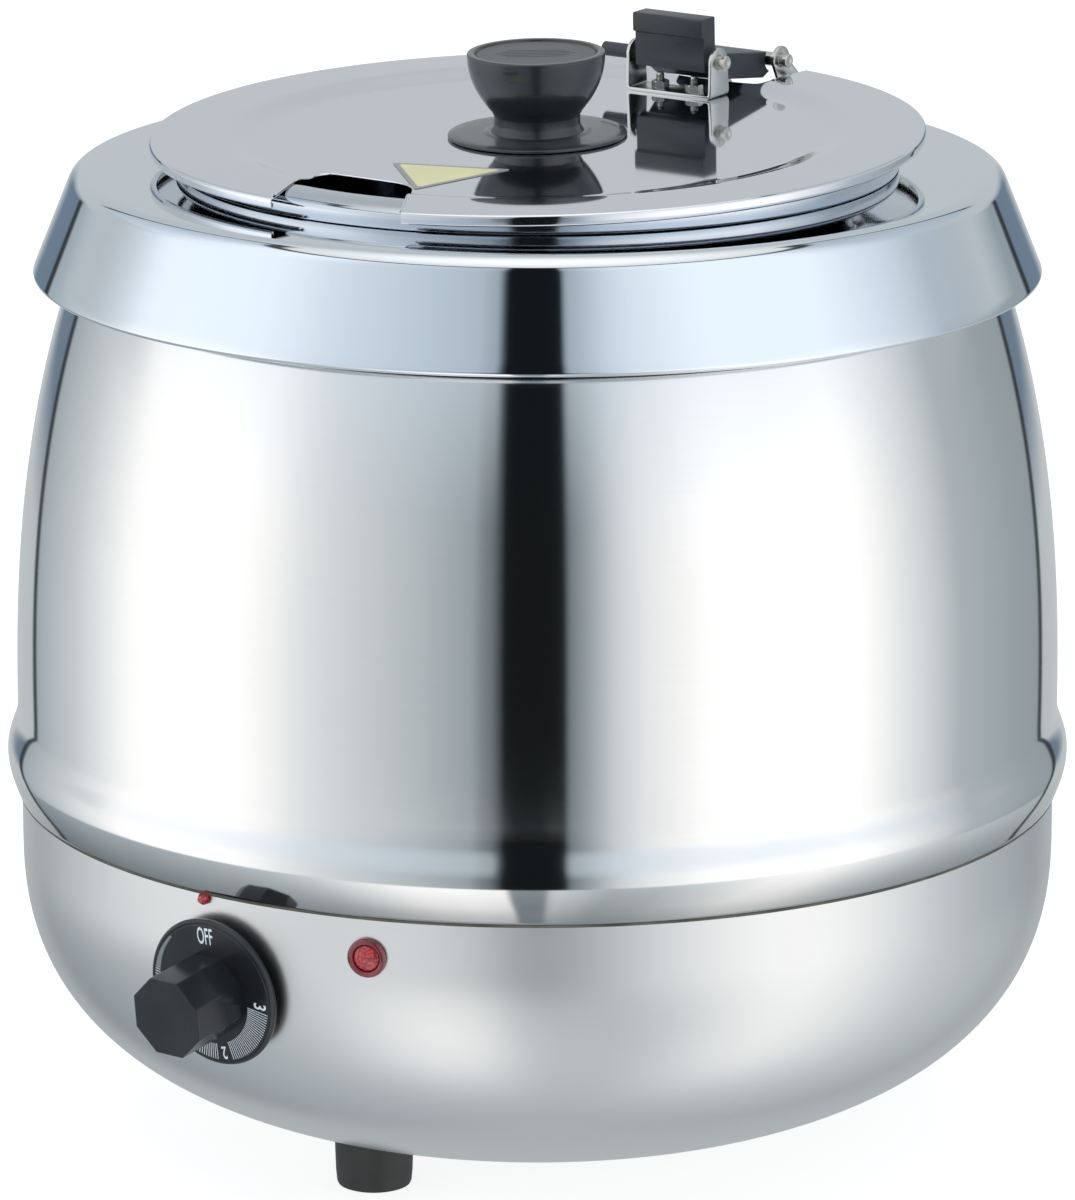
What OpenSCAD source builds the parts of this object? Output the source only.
// Electric soup kettle: a round insulated body with a lift-out pot, a hinged lid with a
// ladle notch, and a thermostat dial. Millimetres, +Z up, feet on z = 0, dial towards -Y.

/* [Body] */
// Height of the rubber feet below the bowl's floor
foot_h = 18; // [12:1:26]
// Height of the base bowl, from its floor to the seam under the bead
bowl_h = 103; // [86:1:124]
// Height of the rolled bead
bead_h = 28; // [22:1:36]
// Height of the barrel, from the bead to the underside of the collar
barrel_h = 182.3; // [150:0.1:220]
// Radius over the bead, the widest place
bead_r = 180; // [178.5:0.5:184]
// Radius of the barrel just above the bead
barrel_r = 176.4; // [174:0.1:178]
// How far the barrel draws in at its top
barrel_taper = 33.4; // [20:0.1:35]
// Wall of the outer shell and of the base bowl
sheet_t = 1; // [0.8:0.1:1.4]

/* [Base bowl] */
// Gap between the bowl and the lower lip of the bead
seam_gap = 0.2; // [0.1:0.05:0.5]
// Height of the bowl's straight band below the seam
band_h = 18; // [12:1:24]
// Radius of the bowl's flat floor
floor_r = 107; // [90:1:115]
// Radius of the service opening in the floor
service_r = 66; // [50:1:70]

/* [Collar] */
// Wall of the collar
collar_t = 1.2; // [1:0.1:1.6]
// Height of the collar's skirt
skirt_h = 34.5; // [28:0.5:40]
// Radius at the foot of the skirt
skirt_r = 168.7; // [166:0.1:174]
// Radius where the skirt would meet the flat top
shoulder_r = 154.8; // [152:0.1:158]
// Rounding between the skirt and the flat top
shoulder_round = 7; // [4:0.5:9]
// Radius of the opening that the pot drops into
opening_r = 115; // [113:0.5:118]

/* [Pot and well] */
// Inside radius of the soup pot
pot_r = 104.2; // [95:0.1:106]
// Depth of the pot below its rim
pot_depth = 264; // [200:1:270]
// Wall of the pot, the well and the lid
pot_t = 1; // [0.8:0.1:1.2]
// Outside radius of the pot's rolled rim
rim_r = 120.6; // [118:0.1:123]
// Height of the pot's rim above the collar
rim_h = 8; // [6:0.1:9]
// Water space between the pot's floor and the well's floor
water_gap = 14; // [8:1:20]

/* [Lid] */
// Radius of the lid
lid_r = 129.5; // [126:0.1:134]
// Radius of the lid's sunken flat middle
lid_flat_r = 94; // [90:0.5:98]
// Slope of the closed lid, which its hinge holds up at the rear
lid_slope = 1.8; // [1:0.1:2.4]
// Half width of the ladle notch at its back
notch_w = 19.5; // [16:0.5:22]
// Distance from the lid's centre to the back of the ladle notch
notch_in = 80.8; // [80:0.1:90]
// Lean of the ladle notch towards the lamp's side
notch_lean = 25.5; // [0:0.5:26]

/* [Hinge] */
// Radius of both hinge pins
pin_r = 2.4; // [2:0.1:3]
// Running clearance of the arm on its pins, on the radius
pin_gap = 0.08; // [0.03:0.01:0.1]
// Distance of the front edge of the lid's bracket behind the centre
bracket_y = 76; // [70:0.5:80]
// Outside width of both brackets
bracket_w = 35.4; // [32:0.2:38]
// Height of the front pin above the lid
front_pin_h = 12.3; // [11.5:0.1:14]
// Distance of the rear pin behind the centre
rear_pin_y = 119; // [117:0.5:121]
// Height of the rear pin above the collar
rear_pin_h = 19.7; // [19:0.1:22]
// Opening angle of the lid
lid_open = 95; // [60:1:95]

/* [Lid knob] */
// Radius of the guard disc under the knob
guard_r = 30; // [26:0.5:34]
// Radius of the knob at its top
knob_r = 23; // [20:0.5:26]
// Height of the knob above the lid
knob_h = 27.5; // [24:0.5:30]

/* [Control] */
// Height of the dial's centre above the table
dial_z = 89; // [82:1:92]
// Radius of the dial disc
dial_r = 25; // [20:0.5:26]
// Width of the eight-sided grip across its corners
grip_w = 28; // [22:0.5:32]
// Length of the grip in front of the disc
grip_l = 22; // [16:0.5:26]
// Angle between the dial and the lamp, around the body
lamp_angle = 18; // [14:0.5:40]
// Radius of the lamp's bezel
lamp_r = 6.5; // [5:0.1:8]

/* [Feet] */
// Radius of a foot at the table
foot_r = 12.5; // [10:0.5:13]
// Radius of a foot where it meets the floor
foot_top_r = 13.5; // [11:0.5:15]

/* [Hidden] */
$fn = 96;

steel = "Gainsboro";
chrome = "LightSteelBlue";
black = "DimGray";
eps = 0.01;
clear = 0.15;         // slack of a screw or stud in its hole
body_gap = 0.3;       // space between pieces that move apart
steps = 20;           // points along each curved outline

// Heights of the body, stacked up from the table
floor_z = foot_h;
seam_z = floor_z + bowl_h;
bead_top_z = seam_z + bead_h;
shell_top_z = bead_top_z + barrel_h;
collar_z = shell_top_z + collar_t;

// Outer shell outline
bead_peak = 13;       // height of the widest place above the seam
barrel_curve = 2.41;
flange_in = 9;
lip_r = barrel_r + 0.2;
flange_r = barrel_r - barrel_taper - flange_in;
function barrel_at(z) =
    barrel_r - barrel_taper * pow(max(0, z - bead_top_z) / barrel_h, barrel_curve);
function shell_at(z) =
    z < seam_z + bead_peak ? lip_r + (bead_r - lip_r) * sin(90 * (z - seam_z) / bead_peak)
    : z < bead_top_z
    ? barrel_r + (bead_r - barrel_r)
        * (0.5 + 0.5 * cos(180 * (z - seam_z - bead_peak) / (bead_h - bead_peak)))
    : barrel_at(z);

// Base bowl outline: a superellipse from the straight band down to the flat floor
bowl_r = lip_r - sheet_t - seam_gap;
bowl_drop = 2.36;
bowl_side = 3.06;
corner_z = seam_z - band_h;
bowl_reach = pow(1 - pow(floor_r / bowl_r, bowl_side), 1 / bowl_drop);
bowl_depth = (corner_z - floor_z) / bowl_reach;
function bowl_at(z, inset = 0) =
    (bowl_r - inset)
    * pow(1 - pow(max(0, corner_z - z) / (bowl_depth - inset), bowl_drop), 1 / bowl_side);
function bowl_slope(z) = atan((bowl_at(z + 1) - bowl_at(z - 1)) / 2);
bowl_rim_z = seam_z + bead_peak - 1;
bowl_rim_w = 11;
ring_t = 1.5;
ring_screw_r = 2;
ring_pcd_r = bowl_r - 6;
ring_screws = 6;

// Collar, well and pot
lip_round = 2.5;
lip_drop = 7;
hem_h = 5;
hem_t = 2.4;
skirt_angle = atan((skirt_r - shoulder_r) / skirt_h);
shoulder_len = shoulder_round * tan((90 - skirt_angle) / 2);
well_r = opening_r + lip_round + 0.1;
well_flange_r = well_r + 13;
pot_floor_z = collar_z + rim_h - pot_depth - pot_t;
well_floor_z = pot_floor_z - water_gap;
pot_round = 22;
well_round = 14;
rim_crest_r = pot_r + 5.8;
rim_bend_h = 4;
stud_r = 2.5;
stud_pcd_r = well_flange_r + 7;
stud_count = 4;
jacket_t = 12;

// Lid, in its own frame: h = 0 is the top of the sunken flat
lid_z = collar_z + rim_h + 1.5;
lid_t = 0.8;
lid_crest_h = 3.4;
lid_crest_r = lid_flat_r + 12;
lid_edge_h = 2.2;
lid_drop = 1.8;
rear_notch_w = bracket_w / 2 + 5.3;
rear_notch_in = 100;
notch_x = -9.5;       // middle of the ladle notch's back edge
notch_flare = 6;      // how far each side of the notch opens towards the rim
notch_round = 9;
pin_half = bracket_w / 2 + 3.3;

// Hinge
bracket_t = 1.2;
bracket_d = 11;
ear_r = 4.9;
front_pin_y = bracket_y + bracket_d / 2;
stud_x = 7;
arm_w = bracket_w - 2 * bracket_t - 2 * body_gap - 3.6;
barrel_w = bracket_w - 2 * bracket_t - 2 * body_gap;
knuckle_r = 4.2;
tab_t = 6;
tab_low = 3.4;
tab_high = 15.2;
tab_lip_h = 6.4;
tab_lip_out = 1.4;
web_w = 27;
web_t = 5;
rear_pin_z = collar_z + rear_pin_h;
front_pin_row_y = front_pin_y * cos(lid_slope) - front_pin_h * sin(lid_slope);
front_pin_row_z = lid_z + front_pin_y * sin(lid_slope) + front_pin_h * cos(lid_slope);
base_y = rear_pin_y + 5;
base_d = 18;
base_screw_r = 2;
base_screw_x = 9;
base_screw_y = base_y + 11;
base_nut_r = 4.1;

// Lid knob
guard_t = 2;
neck_r = 14.4;
neck_h = 6;
knob_screw_r = 2.5;
knob_bore_h = 12;

// Control
dial_wall_r = bowl_at(dial_z);
dial_tilt = bowl_slope(dial_z);
disc_off = 3;
disc_t = 2.6;
disc_edge = 1.4;
hub_r = 15.5;
hub_h = 3;
shaft_r = 3;
bushing_r = 4.8;
thermostat_w = 36;
thermostat_d = 24;
lamp_z = seam_z - 13.5;
index_z = seam_z - 4.5;
lamp_hole_r = lamp_r - 1;
index_r = 1.8;

// Heater and wiring
heater_tube_r = 4;
heater_r = 76;
clamp_t = 1.5;
clamp_r = heater_r + heater_tube_r + 4;
clamp_z = well_floor_z - 2 * heater_tube_r - 0.1;
leg_h = 15;
gland_z = seam_z - 14;
gland_r = 8;
cord_r = 3.8;
terminal = [44, 20, 16];
bulb_r = 3;
bulb_h = 80;

// Feet
foot_ring_r = floor_r - foot_top_r - 0.5;
foot_angles = [-90, 50, 130];
foot_screw_r = 2.5;
plate_t = 1.2;
plate_r = service_r + 8;
plate_screw_r = 1.8;
plate_screws = 4;

// Shared shapes
module on_lid() { translate([0, 0, lid_z]) rotate([lid_slope, 0, 0]) children(); }
module on_dial() { translate([0, -dial_wall_r, dial_z]) rotate([90 + dial_tilt, 0, 0]) children(); }
module on_band(angle, z) { rotate([0, 0, angle]) translate([0, -bowl_r, z]) rotate([90, 0, 0]) children(); }
module ring_of(count, r, start = 0) {
    for (i = [0 : count - 1]) rotate([0, 0, start + i * 360 / count]) translate([r, 0, 0]) children();
}
module hex_nut(r, h, bore) {
    difference() {
        cylinder(r = r, h = h, $fn = 6);
        translate([0, 0, -1]) cylinder(r = bore, h = h + 2, $fn = 32);
    }
}
module pan_head(r, h) {
    rotate_extrude($fn = 32)
        polygon([[0, 0], [r, 0], [r, h * 0.45], [r * 0.82, h * 0.85], [r * 0.5, h], [0, h]]);
}
module side_plate(x, t) { translate([x, 0, 0]) rotate([90, 0, 90]) linear_extrude(t) children(); }

module outer_shell() {
    zs = concat([for (i = [0 : 7]) seam_z + bead_peak * i / 8],
                [for (i = [0 : 7]) seam_z + bead_peak + (bead_h - bead_peak) * i / 8],
                [for (i = [0 : steps]) bead_top_z + (barrel_h - sheet_t) * i / steps]);
    last = len(zs) - 1;
    color(steel) difference() {
        rotate_extrude() polygon(concat(
            [for (z = zs) [shell_at(z), z]],
            [[barrel_at(shell_top_z), shell_top_z], [flange_r, shell_top_z],
             [flange_r, shell_top_z - sheet_t]],
            [for (i = [0 : last]) [shell_at(zs[last - i]) - sheet_t, zs[last - i]]]));
        ring_of(stud_count, stud_pcd_r, 45) translate([0, 0, shell_top_z - 5])
            cylinder(r = stud_r + clear, h = 10, $fn = 32);
        for (x = [-base_screw_x, base_screw_x]) translate([x, base_screw_y, shell_top_z - 3])
            cylinder(r = base_nut_r + 0.6, h = 6, $fn = 32);
    }
}

module base_bowl() {
    top_in = bowl_r - bowl_rim_w;
    outer = [for (i = [0 : steps]) corner_z - (corner_z - floor_z) * sin(90 * (1 - i / steps))];
    inner = [for (i = [0 : steps]) corner_z - (corner_z - floor_z - sheet_t) * sin(90 * i / steps)];
    color(steel) difference() {
        rotate_extrude() polygon(concat(
            [[service_r, floor_z]],
            [for (z = outer) [bowl_at(z), z]],
            [[bowl_r, bowl_rim_z], [top_in, bowl_rim_z], [top_in, bowl_rim_z - sheet_t],
             [bowl_r - sheet_t, bowl_rim_z - sheet_t]],
            [for (z = inner) [bowl_at(z, sheet_t), z]],
            [[service_r, floor_z + sheet_t]]));
        ring_of(ring_screws, ring_pcd_r) translate([0, 0, bowl_rim_z - 3])
            cylinder(r = ring_screw_r + clear, h = 6, $fn = 32);
        on_dial() translate([0, 0, -8]) cylinder(r = bushing_r + clear, h = 16, $fn = 32);
        on_band(lamp_angle, lamp_z) translate([0, 0, -5])
            cylinder(r = lamp_hole_r + clear, h = 10, $fn = 32);
        on_band(0, index_z) translate([0, 0, -5]) cylinder(r = index_r + clear, h = 10, $fn = 32);
        on_band(180, gland_z) translate([0, 0, -5]) cylinder(r = gland_r + clear, h = 10, $fn = 48);
        for (a = foot_angles) rotate([0, 0, a]) translate([foot_ring_r, 0, floor_z - 3])
            cylinder(r = foot_screw_r + clear, h = 8, $fn = 32);
        ring_of(plate_screws, plate_r - 4, 45) translate([0, 0, floor_z - 3])
            cylinder(r = plate_screw_r + clear, h = 8, $fn = 32);
    }
}

module joint_ring() {
    color("Silver") difference() {
        translate([0, 0, bowl_rim_z]) cylinder(r = bead_r - sheet_t - 0.5, h = ring_t);
        translate([0, 0, bowl_rim_z - 1]) cylinder(r = bowl_r - bowl_rim_w - 2, h = ring_t + 2);
        ring_of(ring_screws, ring_pcd_r) translate([0, 0, bowl_rim_z - 3])
            cylinder(r = ring_screw_r + clear, h = 9, $fn = 32);
    }
}

module joint_ring_screws() {
    color("Silver") ring_of(ring_screws, ring_pcd_r) {
        translate([0, 0, bowl_rim_z - 6]) cylinder(r = ring_screw_r, h = 6 + ring_t, $fn = 32);
        translate([0, 0, bowl_rim_z + ring_t]) pan_head(3.6, 2.2);
    }
}

module top_collar() {
    foot_z = collar_z - skirt_h;
    bend = [for (i = [0 : 8]) skirt_angle + (90 - skirt_angle) * i / 8];
    lip = [for (i = [0 : 6]) 90 + 15 * i];
    bend_c = [shoulder_r - shoulder_len, collar_z - shoulder_round];
    lip_c = [opening_r + lip_round, collar_z - lip_round];
    slant_in = hem_h * tan(skirt_angle);
    flat_in = collar_t / cos(skirt_angle);
    flat_hem = hem_t / cos(skirt_angle);
    color(chrome) difference() {
        rotate_extrude() polygon(concat(
            [[skirt_r - 1.6, foot_z - 1], [skirt_r - 0.5, foot_z - 0.6], [skirt_r, foot_z]],
            [for (a = bend) bend_c + shoulder_round * [cos(a), sin(a)]],
            [for (a = lip) lip_c + lip_round * [cos(a), sin(a)]],
            [[opening_r, collar_z - lip_drop], [opening_r + collar_t, collar_z - lip_drop]],
            [for (i = [0 : 6]) lip_c + (lip_round - collar_t) * [cos(lip[6 - i]), sin(lip[6 - i])]],
            [for (i = [0 : 8]) bend_c + (shoulder_round - collar_t) * [cos(bend[8 - i]), sin(bend[8 - i])]],
            [[skirt_r - slant_in - flat_in, foot_z + hem_h],
             [skirt_r - slant_in - flat_hem, foot_z + hem_h],
             [skirt_r - flat_hem, foot_z]]));
        ring_of(stud_count, stud_pcd_r, 45) translate([0, 0, shell_top_z - 1])
            cylinder(r = stud_r + clear, h = 1 + collar_t / 2, $fn = 32);
        for (x = [-base_screw_x, base_screw_x]) translate([x, base_screw_y, collar_z - 3])
            cylinder(r = base_screw_r + clear, h = 6, $fn = 32);
    }
}

module collar_studs() {
    color("Silver") ring_of(stud_count, stud_pcd_r, 45) translate([0, 0, shell_top_z - 14])
        cylinder(r = stud_r, h = 14 + collar_t / 2, $fn = 32);
}

module collar_nuts() {
    color("Silver") ring_of(stud_count, stud_pcd_r, 45) translate([0, 0, shell_top_z - sheet_t - 4])
        hex_nut(4.6, 4, stud_r + clear);
}

module water_well() {
    low = well_floor_z;
    bend = [for (i = [0 : 8]) 90 * i / 8];
    c = [well_r - well_round, low + pot_t + well_round];
    color(steel) difference() {
        rotate_extrude() polygon(concat(
            [[0, low]],
            [for (a = bend) c + (well_round + pot_t) * [sin(a), -cos(a)]],
            [[well_r + pot_t, shell_top_z - pot_t], [well_flange_r, shell_top_z - pot_t],
             [well_flange_r, shell_top_z], [well_r, shell_top_z]],
            [for (i = [0 : 8]) c + well_round * [sin(bend[8 - i]), -cos(bend[8 - i])]],
            [[0, low + pot_t]]));
        translate([0, 0, low - 1]) cylinder(r = 3 + clear, h = pot_t + 2, $fn = 32);
    }
}

module insulation_jacket() {
    low = seam_z + 12;
    color("Khaki") difference() {
        translate([0, 0, low]) cylinder(r = well_r + pot_t + jacket_t, h = shell_top_z - low - 22);
        translate([0, 0, low - 1]) cylinder(r = well_r + pot_t + 0.2, h = shell_top_z);
    }
}

module soup_pot() {
    low = pot_floor_z;
    bend = [for (i = [0 : 8]) 90 * i / 8];
    arc = [for (i = [0 : 12]) 7.5 * i * 2];
    bend_z = collar_z + rim_h - rim_bend_h;
    c = [pot_r - pot_round, low + pot_t + pot_round];
    out_w = rim_r - rim_crest_r;
    in_w = rim_crest_r - pot_r;
    function rim(a, t) =
        [rim_crest_r + ((a < 90 ? out_w : in_w) - t) * cos(a), bend_z + (rim_bend_h - t) * sin(a)];
    color(steel) rotate_extrude() polygon(concat(
        [[0, low]],
        [for (a = bend) c + (pot_round + pot_t) * [sin(a), -cos(a)]],
        [for (i = [0 : 12]) rim(180 - arc[i], pot_t)],
        [[rim_r - pot_t, collar_z + body_gap], [rim_r, collar_z + body_gap]],
        [for (a = arc) rim(a, 0)],
        [for (i = [0 : 8]) c + pot_round * [sin(bend[8 - i]), -cos(bend[8 - i])]],
        [[0, low + pot_t]]));
}

// Outline of the lid's top from the flat out to the rim; drop lowers it by the wall
function lid_top(i) =
    let (u = i / 8)
    i <= 4
    ? [lid_flat_r + (lid_crest_r - lid_flat_r) * u * 2, lid_crest_h * (0.5 - 0.5 * cos(360 * u))]
    : [lid_crest_r + (lid_r - 1 - lid_crest_r) * (u - 0.5) * 2,
       lid_crest_h + (lid_edge_h - lid_crest_h) * pow((u - 0.5) * 2, 1.6)];

module lid() {
    color(steel) on_lid() difference() {
        rotate_extrude() polygon(concat(
            [[0, -lid_t], [0, 0]],
            [for (i = [0 : 8]) lid_top(i)],
            [[lid_r - 0.3, lid_edge_h - 0.3], [lid_r, lid_edge_h - 1], [lid_r, -lid_drop],
             [lid_r - lid_t, -lid_drop], [lid_r - lid_t, lid_edge_h - 1.2]],
            [for (i = [0 : 7]) lid_top(8 - i) - [0.3, lid_t]],
            [[lid_flat_r - 0.2, -lid_t]]));
        translate([0, 0, -5]) linear_extrude(15) ladle_notch();
        translate([-rear_notch_w, rear_notch_in, -5]) cube([2 * rear_notch_w, lid_r, 15]);
        translate([0, 0, -3]) cylinder(r = knob_screw_r + clear, h = 6, $fn = 32);
        for (x = [-stud_x, stud_x]) translate([x, front_pin_y, -3])
            cylinder(r = 1.5 + clear, h = 6, $fn = 32);
    }
}

module ladle_notch() {
    reach = lid_r + 12 - notch_in;
    low = notch_x - notch_w;
    high = notch_x + notch_w;
    offset(r = notch_round, $fn = 64) offset(delta = -notch_round) polygon([
        [low, -notch_in], [high, -notch_in],
        [high + reach * tan(notch_lean + notch_flare), -notch_in - reach],
        [low + reach * tan(notch_lean - notch_flare), -notch_in - reach]]);
}

module lid_knob() {
    flare = knob_h - guard_t - neck_h - 1.6;
    function flare_at(u) = neck_r + 0.3 + (knob_r - neck_r - 0.3) * (1.1 * u - 0.1 * pow(u, 4));
    color(black) on_lid() translate([0, 0, guard_t]) difference() {
        rotate_extrude() polygon(concat(
            [[0, 0], [neck_r + 1.2, 0], [neck_r + 0.3, 1], [neck_r, 2.4], [neck_r, neck_h]],
            [for (i = [0 : 8]) [flare_at(i / 8), neck_h + 0.6 + flare * i / 8]],
            [[knob_r - 0.3, knob_h - guard_t - 0.6], [knob_r - 1.4, knob_h - guard_t],
             [knob_r - 2.6, knob_h - guard_t - 0.2], [knob_r - 3, knob_h - guard_t - 1],
             [0, knob_h - guard_t - 1]]));
        translate([0, 0, -1]) cylinder(r = knob_screw_r + clear, h = knob_bore_h + 1, $fn = 32);
    }
}

module knob_guard() {
    color(black) on_lid() difference() {
        rotate_extrude() polygon([[0, 0], [guard_r - 0.8, 0], [guard_r, 0.6], [guard_r, 1.2],
                                  [guard_r - 1, 1.7], [neck_r + 1.6, guard_t], [0, guard_t]]);
        translate([0, 0, -1]) cylinder(r = knob_screw_r + clear, h = guard_t + 2, $fn = 32);
    }
}

module knob_screw() {
    color("Silver") on_lid() union() {
        translate([0, 0, -lid_t - 1]) cylinder(r = 7, h = 1, $fn = 48);
        translate([0, 0, -lid_t - 1]) mirror([0, 0, 1]) pan_head(4.5, 2.6);
        translate([0, 0, -lid_t - 1]) cylinder(r = knob_screw_r, h = guard_t + knob_bore_h, $fn = 32);
    }
}

module lid_label() {
    label_r = 24;
    color("Khaki") on_lid() translate([7.6, -64.7, 0.02]) rotate([0, 0, -73])
        linear_extrude(0.25) circle(r = label_r, $fn = 3);
}

// Ear of a bracket: a round eye about its pin on a straight leg; x runs front to back
module ear(y, z, low, y0, y1) {
    difference() {
        union() {
            translate([y, z]) circle(r = ear_r, $fn = 48);
            polygon([[y0, low], [y1, low], [y1, low + 3], [y + ear_r, z - 1], [y + ear_r, z],
                     [y - ear_r, z], [y - ear_r, z - 1]]);
        }
        translate([y, z]) circle(r = pin_r + 0.02, $fn = 48);
    }
}

module lid_bracket() {
    half = bracket_w / 2;
    color("Silver") on_lid() union() {
        difference() {
            translate([-half, bracket_y, 0]) cube([bracket_w, bracket_d, bracket_t]);
            for (x = [-stud_x, stud_x]) translate([x, front_pin_y, -1])
                cylinder(r = 1.5 + clear, h = 4, $fn = 32);
        }
        for (x = [-half, half - bracket_t]) side_plate(x, bracket_t)
            ear(front_pin_y, front_pin_h, 0, bracket_y, bracket_y + bracket_d);
    }
}

module lid_bracket_screws() {
    color("Silver") on_lid() for (x = [-stud_x, stud_x]) translate([x, front_pin_y, -lid_t]) {
        cylinder(r = 1.5, h = lid_t + 6.4, $fn = 32);
        mirror([0, 0, 1]) pan_head(3, 1.8);
    }
}

module lid_bracket_nuts() {
    color("Silver") on_lid() for (x = [-stud_x, stud_x]) translate([x, front_pin_y, bracket_t])
        hex_nut(3.1, 2.4, 1.5 + clear);
}

module hinge_pin() {
    rotate([0, 90, 0]) translate([0, 0, -pin_half]) rotate_extrude($fn = 48)
        polygon([[0, 0], [pin_r - 0.4, 0], [pin_r, 0.4], [pin_r, 2 * pin_half - 0.4],
                 [pin_r - 0.4, 2 * pin_half], [0, 2 * pin_half]]);
}

module front_hinge_pin() { color("Silver") translate([0, front_pin_row_y, front_pin_row_z]) hinge_pin(); }
module rear_hinge_pin() { color("Silver") translate([0, rear_pin_y, rear_pin_z]) hinge_pin(); }

module hinge_arm() {
    run = [rear_pin_y - front_pin_row_y, rear_pin_z - front_pin_row_z];
    droop = atan2(run[1], run[0]);
    reach = norm(run);
    color(black) difference() {
        union() {
            // knuckle and lifting tab about the front pin
            translate([0, front_pin_row_y, front_pin_row_z]) rotate([lid_slope, 0, 0]) union() {
                translate([-arm_w / 2, 0, 0]) rotate([0, 90, 0]) cylinder(r = knuckle_r, h = arm_w);
                side_plate(-arm_w / 2, arm_w) polygon([
                    [-knuckle_r, -tab_low], [knuckle_r * 0.6, -tab_low],
                    [tab_t - knuckle_r + 0.6, tab_high], [-knuckle_r - tab_lip_out + 0.5, tab_high],
                    [-knuckle_r - tab_lip_out, tab_high - 0.5],
                    [-knuckle_r - tab_lip_out, tab_high - tab_lip_h],
                    [-knuckle_r, tab_high - tab_lip_h - 0.6]]);
            }
            // web and rear barrel
            translate([0, front_pin_row_y, front_pin_row_z]) rotate([droop, 0, 0])
                translate([-web_w / 2, 0, -web_t / 2]) cube([web_w, reach, web_t]);
            translate([-barrel_w / 2, rear_pin_y, rear_pin_z]) rotate([0, 90, 0])
                cylinder(r = knuckle_r, h = barrel_w);
        }
        for (p = [[front_pin_row_y, front_pin_row_z], [rear_pin_y, rear_pin_z]])
            translate([-bracket_w, p[0], p[1]]) rotate([0, 90, 0])
                cylinder(r = pin_r + pin_gap, h = 2 * bracket_w, $fn = 64);
    }
}

module collar_bracket() {
    half = bracket_w / 2;
    color("Silver") union() {
        difference() {
            translate([-half, base_y, collar_z]) cube([bracket_w, base_d, bracket_t]);
            for (x = [-base_screw_x, base_screw_x]) translate([x, base_screw_y, collar_z - 1])
                cylinder(r = base_screw_r + clear, h = 4, $fn = 32);
        }
        for (x = [-half, half - bracket_t]) side_plate(x, bracket_t)
            ear(rear_pin_y, rear_pin_z, collar_z, base_y, base_y + base_d);
    }
}

module collar_bracket_screws() {
    color("Silver") for (x = [-base_screw_x, base_screw_x]) translate([x, base_screw_y, collar_z]) {
        translate([0, 0, -collar_t - 8]) cylinder(r = base_screw_r, h = collar_t + bracket_t + 8, $fn = 32);
        translate([0, 0, bracket_t]) pan_head(3.7, 2.3);
        translate([0, 0, -collar_t - 3.2]) cylinder(r = base_nut_r, h = 3.2, $fn = 6);
    }
}

module control_knob() {
    color(black) on_dial() translate([0, 0, disc_off]) difference() {
        union() {
            rotate_extrude() polygon([[0, 0], [dial_r - 0.5, 0], [dial_r, 0.5], [dial_r, disc_edge],
                                      [dial_r - 0.8, disc_t - 0.4], [dial_r - 2.2, disc_t - 0.2],
                                      [hub_r + 1, disc_t], [hub_r, disc_t + hub_h], [0, disc_t + hub_h]]);
            rotate([0, 0, 22.5]) cylinder(r = grip_w / 2, h = disc_t + grip_l, $fn = 8);
        }
        translate([0, 0, -1]) cylinder(r = shaft_r + 0.05, h = 13, $fn = 48);
        translate([0, 0, -1]) cylinder(r = 9, h = 1.6, $fn = 48);
    }
}

module thermostat_shaft() {
    color("Silver") on_dial() translate([0, 0, -12]) cylinder(r = shaft_r, h = 12 + disc_off + 11, $fn = 48);
}

module thermostat() {
    back = -sheet_t - 2.8 - thermostat_d;
    color("Gray") on_dial() difference() {
        union() {
            translate([0, 0, back]) cylinder(r = thermostat_w / 2, h = thermostat_d);
            translate([0, 0, back - 8]) cylinder(r = thermostat_w / 2 - 4, h = 8 + eps);
            translate([0, 0, back]) cylinder(r = bushing_r, h = -back + 2.2, $fn = 48);
        }
        translate([0, 0, -12.5]) cylinder(r = shaft_r + 0.06, h = 20, $fn = 48);
    }
}

module thermostat_nut() {
    color("Silver") on_dial() translate([0, 0, 0.35]) hex_nut(8.2, 1.7, bushing_r + clear);
}

module sensor_bulb() {
    y = -well_r - pot_t - jacket_t - bulb_r - 0.4;
    color("Peru") translate([0, y, seam_z + 24]) {
        cylinder(r = bulb_r, h = bulb_h, $fn = 32);
        translate([0, 0, bulb_h]) cylinder(r1 = bulb_r, r2 = 1, h = 4, $fn = 32);
        translate([0, 0, -8]) cylinder(r = 1, h = 8, $fn = 24);
    }
}

module sensor_clips() {
    y = -well_r - pot_t - jacket_t - bulb_r - 0.4;
    color("Silver") for (z = [40, 80]) translate([0, y, seam_z + z]) difference() {
        cylinder(r = bulb_r + 1.1, h = 8, $fn = 48);
        translate([0, 0, -1]) cylinder(r = bulb_r + 0.1, h = 10, $fn = 48);
        translate([-10, bulb_r + 0.35, -1]) cube([20, 10, 10]);
    }
}

module lamp_bezel() {
    color("DarkRed") on_band(lamp_angle, lamp_z) difference() {
        rotate_extrude() polygon([[0, 0.2], [lamp_r, 0.2], [lamp_r, 1], [lamp_r - 0.8, 1.8],
                                  [lamp_r - 2, 2], [0, 2]]);
        translate([0, 0, -1]) cylinder(r = lamp_r - 2.1, h = 6, $fn = 64);
    }
}

module lamp_lens() {
    color("Red") on_band(lamp_angle, lamp_z) rotate_extrude($fn = 64)
        polygon([[0, 0.2], [lamp_r - 2.2, 0.2], [lamp_r - 2.2, 1.6], [lamp_r - 3, 2.1],
                 [lamp_r - 4.6, 2.4], [0, 2.5]]);
}

module lamp_body() {
    color("DarkRed") on_band(lamp_angle, lamp_z) translate([0, 0, -20])
        cylinder(r = lamp_hole_r - 0.2, h = 20.15, $fn = 48);
}

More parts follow.
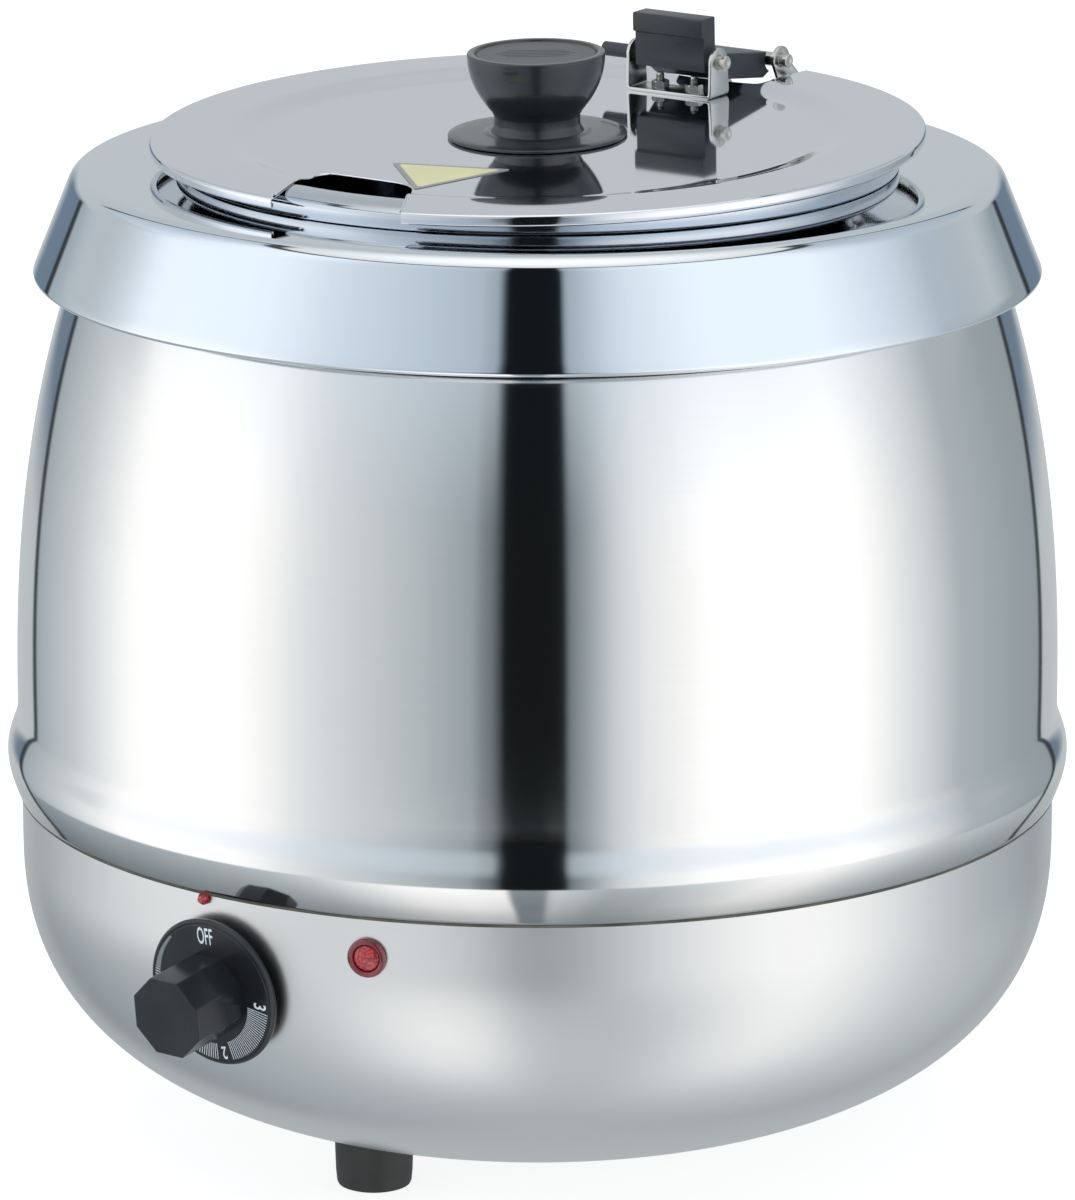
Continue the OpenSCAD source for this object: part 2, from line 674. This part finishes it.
module lamp_clip() {
    color("Silver") on_band(lamp_angle, lamp_z) translate([0, 0, -sheet_t - 2.4]) difference() {
        cylinder(r = lamp_r + 2.5, h = 1, $fn = 48);
        translate([0, 0, -1]) cylinder(r = lamp_hole_r - 0.1, h = 3, $fn = 48);
    }
}

module index_pin() {
    color("Red") on_band(0, index_z) union() {
        translate([0, 0, -4]) cylinder(r = index_r, h = 5.2, $fn = 32);
        translate([0, 0, 0.3]) cylinder(r = index_r + 0.9, h = 0.9, $fn = 32);
        translate([0, 0, 1.2]) cylinder(r1 = index_r + 0.6, r2 = 0.8, h = 1.6, $fn = 32);
    }
}

module heater_ring() {
    color("DimGray") union() {
        translate([0, 0, well_floor_z - heater_tube_r - 0.05]) rotate_extrude()
            translate([heater_r, 0]) circle(r = heater_tube_r, $fn = 32);
        for (x = [-12, 12]) translate([x, sqrt(heater_r * heater_r - 144), clamp_z - leg_h])
            cylinder(r = 3, h = leg_h + 2, $fn = 32);
    }
}

module heater_clamp() {
    color("Silver") difference() {
        translate([0, 0, clamp_z - clamp_t]) cylinder(r = clamp_r, h = clamp_t);
        translate([0, 0, clamp_z - 5]) cylinder(r = 3 + clear, h = 10, $fn = 32);
        for (x = [-12, 12]) translate([x, sqrt(heater_r * heater_r - 144), clamp_z - 5])
            cylinder(r = 3.4, h = 10, $fn = 32);
    }
}

module heater_stud() {
    color("Silver") union() {
        translate([0, 0, floor_z - plate_t - 7])
            cylinder(r = 3, h = well_floor_z + pot_t + plate_t + 7 - floor_z, $fn = 32);
        translate([0, 0, well_floor_z + pot_t]) pan_head(6, 3);
    }
}

module heater_nuts() {
    color("Silver") union() {
        translate([0, 0, clamp_z - clamp_t - 5]) hex_nut(5.8, 5, 3 + clear);
        translate([0, 0, floor_z - plate_t - 5]) hex_nut(5.8, 5, 3 + clear);
    }
}

module thermal_cutout() {
    color("Ivory") translate([0, -36, clamp_z - clamp_t - 7]) union() {
        cylinder(r = 9, h = 7, $fn = 48);
        translate([-16, -3, 5.8]) cube([32, 6, 1.2]);
    }
}

module terminal_block() {
    color("Ivory") translate([-terminal[0] / 2, 62, floor_z + sheet_t]) difference() {
        cube(terminal);
        for (i = [0 : 2]) translate([8 + i * 14, terminal[1] / 2, terminal[2] - 6])
            cylinder(r = 3, h = 7, $fn = 32);
    }
}

module cord_gland() {
    color(black) on_band(180, gland_z) difference() {
        rotate_extrude() polygon([[0, -14], [gland_r, -14], [gland_r, 0.2], [gland_r + 3, 0.2],
                                  [gland_r + 3, 3.5], [gland_r, 5], [gland_r - 1.6, 12],
                                  [gland_r - 2.6, 13], [0, 13]]);
        translate([0, 0, -16]) cylinder(r = cord_r, h = 40, $fn = 64);
    }
}

module gland_nut() {
    color(black) on_band(180, gland_z) translate([0, 0, -sheet_t - 5.6])
        hex_nut(gland_r + 4, 4.5, gland_r + clear);
}

module base_plate() {
    color("Silver") difference() {
        translate([0, 0, floor_z - plate_t]) cylinder(r = plate_r, h = plate_t);
        translate([0, 0, floor_z - 5]) cylinder(r = 3 + clear, h = 10, $fn = 32);
        ring_of(plate_screws, plate_r - 4, 45) translate([0, 0, floor_z - 5])
            cylinder(r = plate_screw_r + clear, h = 10, $fn = 32);
        for (r = [26, 40]) ring_of(8, r) translate([-4, -2, floor_z - 5]) cube([8, 4, 10]);
    }
}

module base_plate_screws() {
    color("Silver") ring_of(plate_screws, plate_r - 4, 45) union() {
        translate([0, 0, floor_z - plate_t]) cylinder(r = plate_screw_r, h = 6, $fn = 32);
        translate([0, 0, floor_z - plate_t]) mirror([0, 0, 1]) pan_head(3.4, 2);
    }
}

module foot(i) {
    color(black) rotate([0, 0, foot_angles[i]]) translate([foot_ring_r, 0, 0]) difference() {
        rotate_extrude() polygon([[0, 0], [foot_r - 1, 0], [foot_r, 1], [foot_top_r, foot_h],
                                  [0, foot_h]]);
        translate([0, 0, foot_h - 7]) cylinder(r = foot_screw_r + clear, h = 8, $fn = 32);
        translate([0, 0, -1]) cylinder(r = 5.5, h = foot_h - 6, $fn = 48);
    }
}
module foot_front() { foot(0); }
module foot_right() { foot(1); }
module foot_left() { foot(2); }

module foot_screws() {
    color("Silver") for (a = foot_angles) rotate([0, 0, a]) translate([foot_ring_r, 0, 0]) union() {
        translate([0, 0, foot_h - 7]) cylinder(r = foot_screw_r, h = 13, $fn = 32);
        translate([0, 0, foot_h - 7]) mirror([0, 0, 1]) pan_head(4.6, 2.6);
        translate([0, 0, foot_h + sheet_t]) cylinder(r = 4.6, h = 3.6, $fn = 6);
    }
}

outer_shell();
base_bowl();
joint_ring();
joint_ring_screws();
top_collar();
collar_studs();
collar_nuts();
water_well();
insulation_jacket();
soup_pot();
lid();
lid_knob();
knob_guard();
knob_screw();
lid_label();
lid_bracket();
lid_bracket_screws();
lid_bracket_nuts();
front_hinge_pin();
hinge_arm();
rear_hinge_pin();
collar_bracket();
collar_bracket_screws();
control_knob();
thermostat_shaft();
thermostat();
thermostat_nut();
sensor_bulb();
sensor_clips();
lamp_bezel();
lamp_lens();
lamp_body();
lamp_clip();
index_pin();
heater_ring();
heater_clamp();
heater_stud();
heater_nuts();
thermal_cutout();
terminal_block();
cord_gland();
gland_nut();
base_plate();
base_plate_screws();
foot_front();
foot_left();
foot_right();
foot_screws();
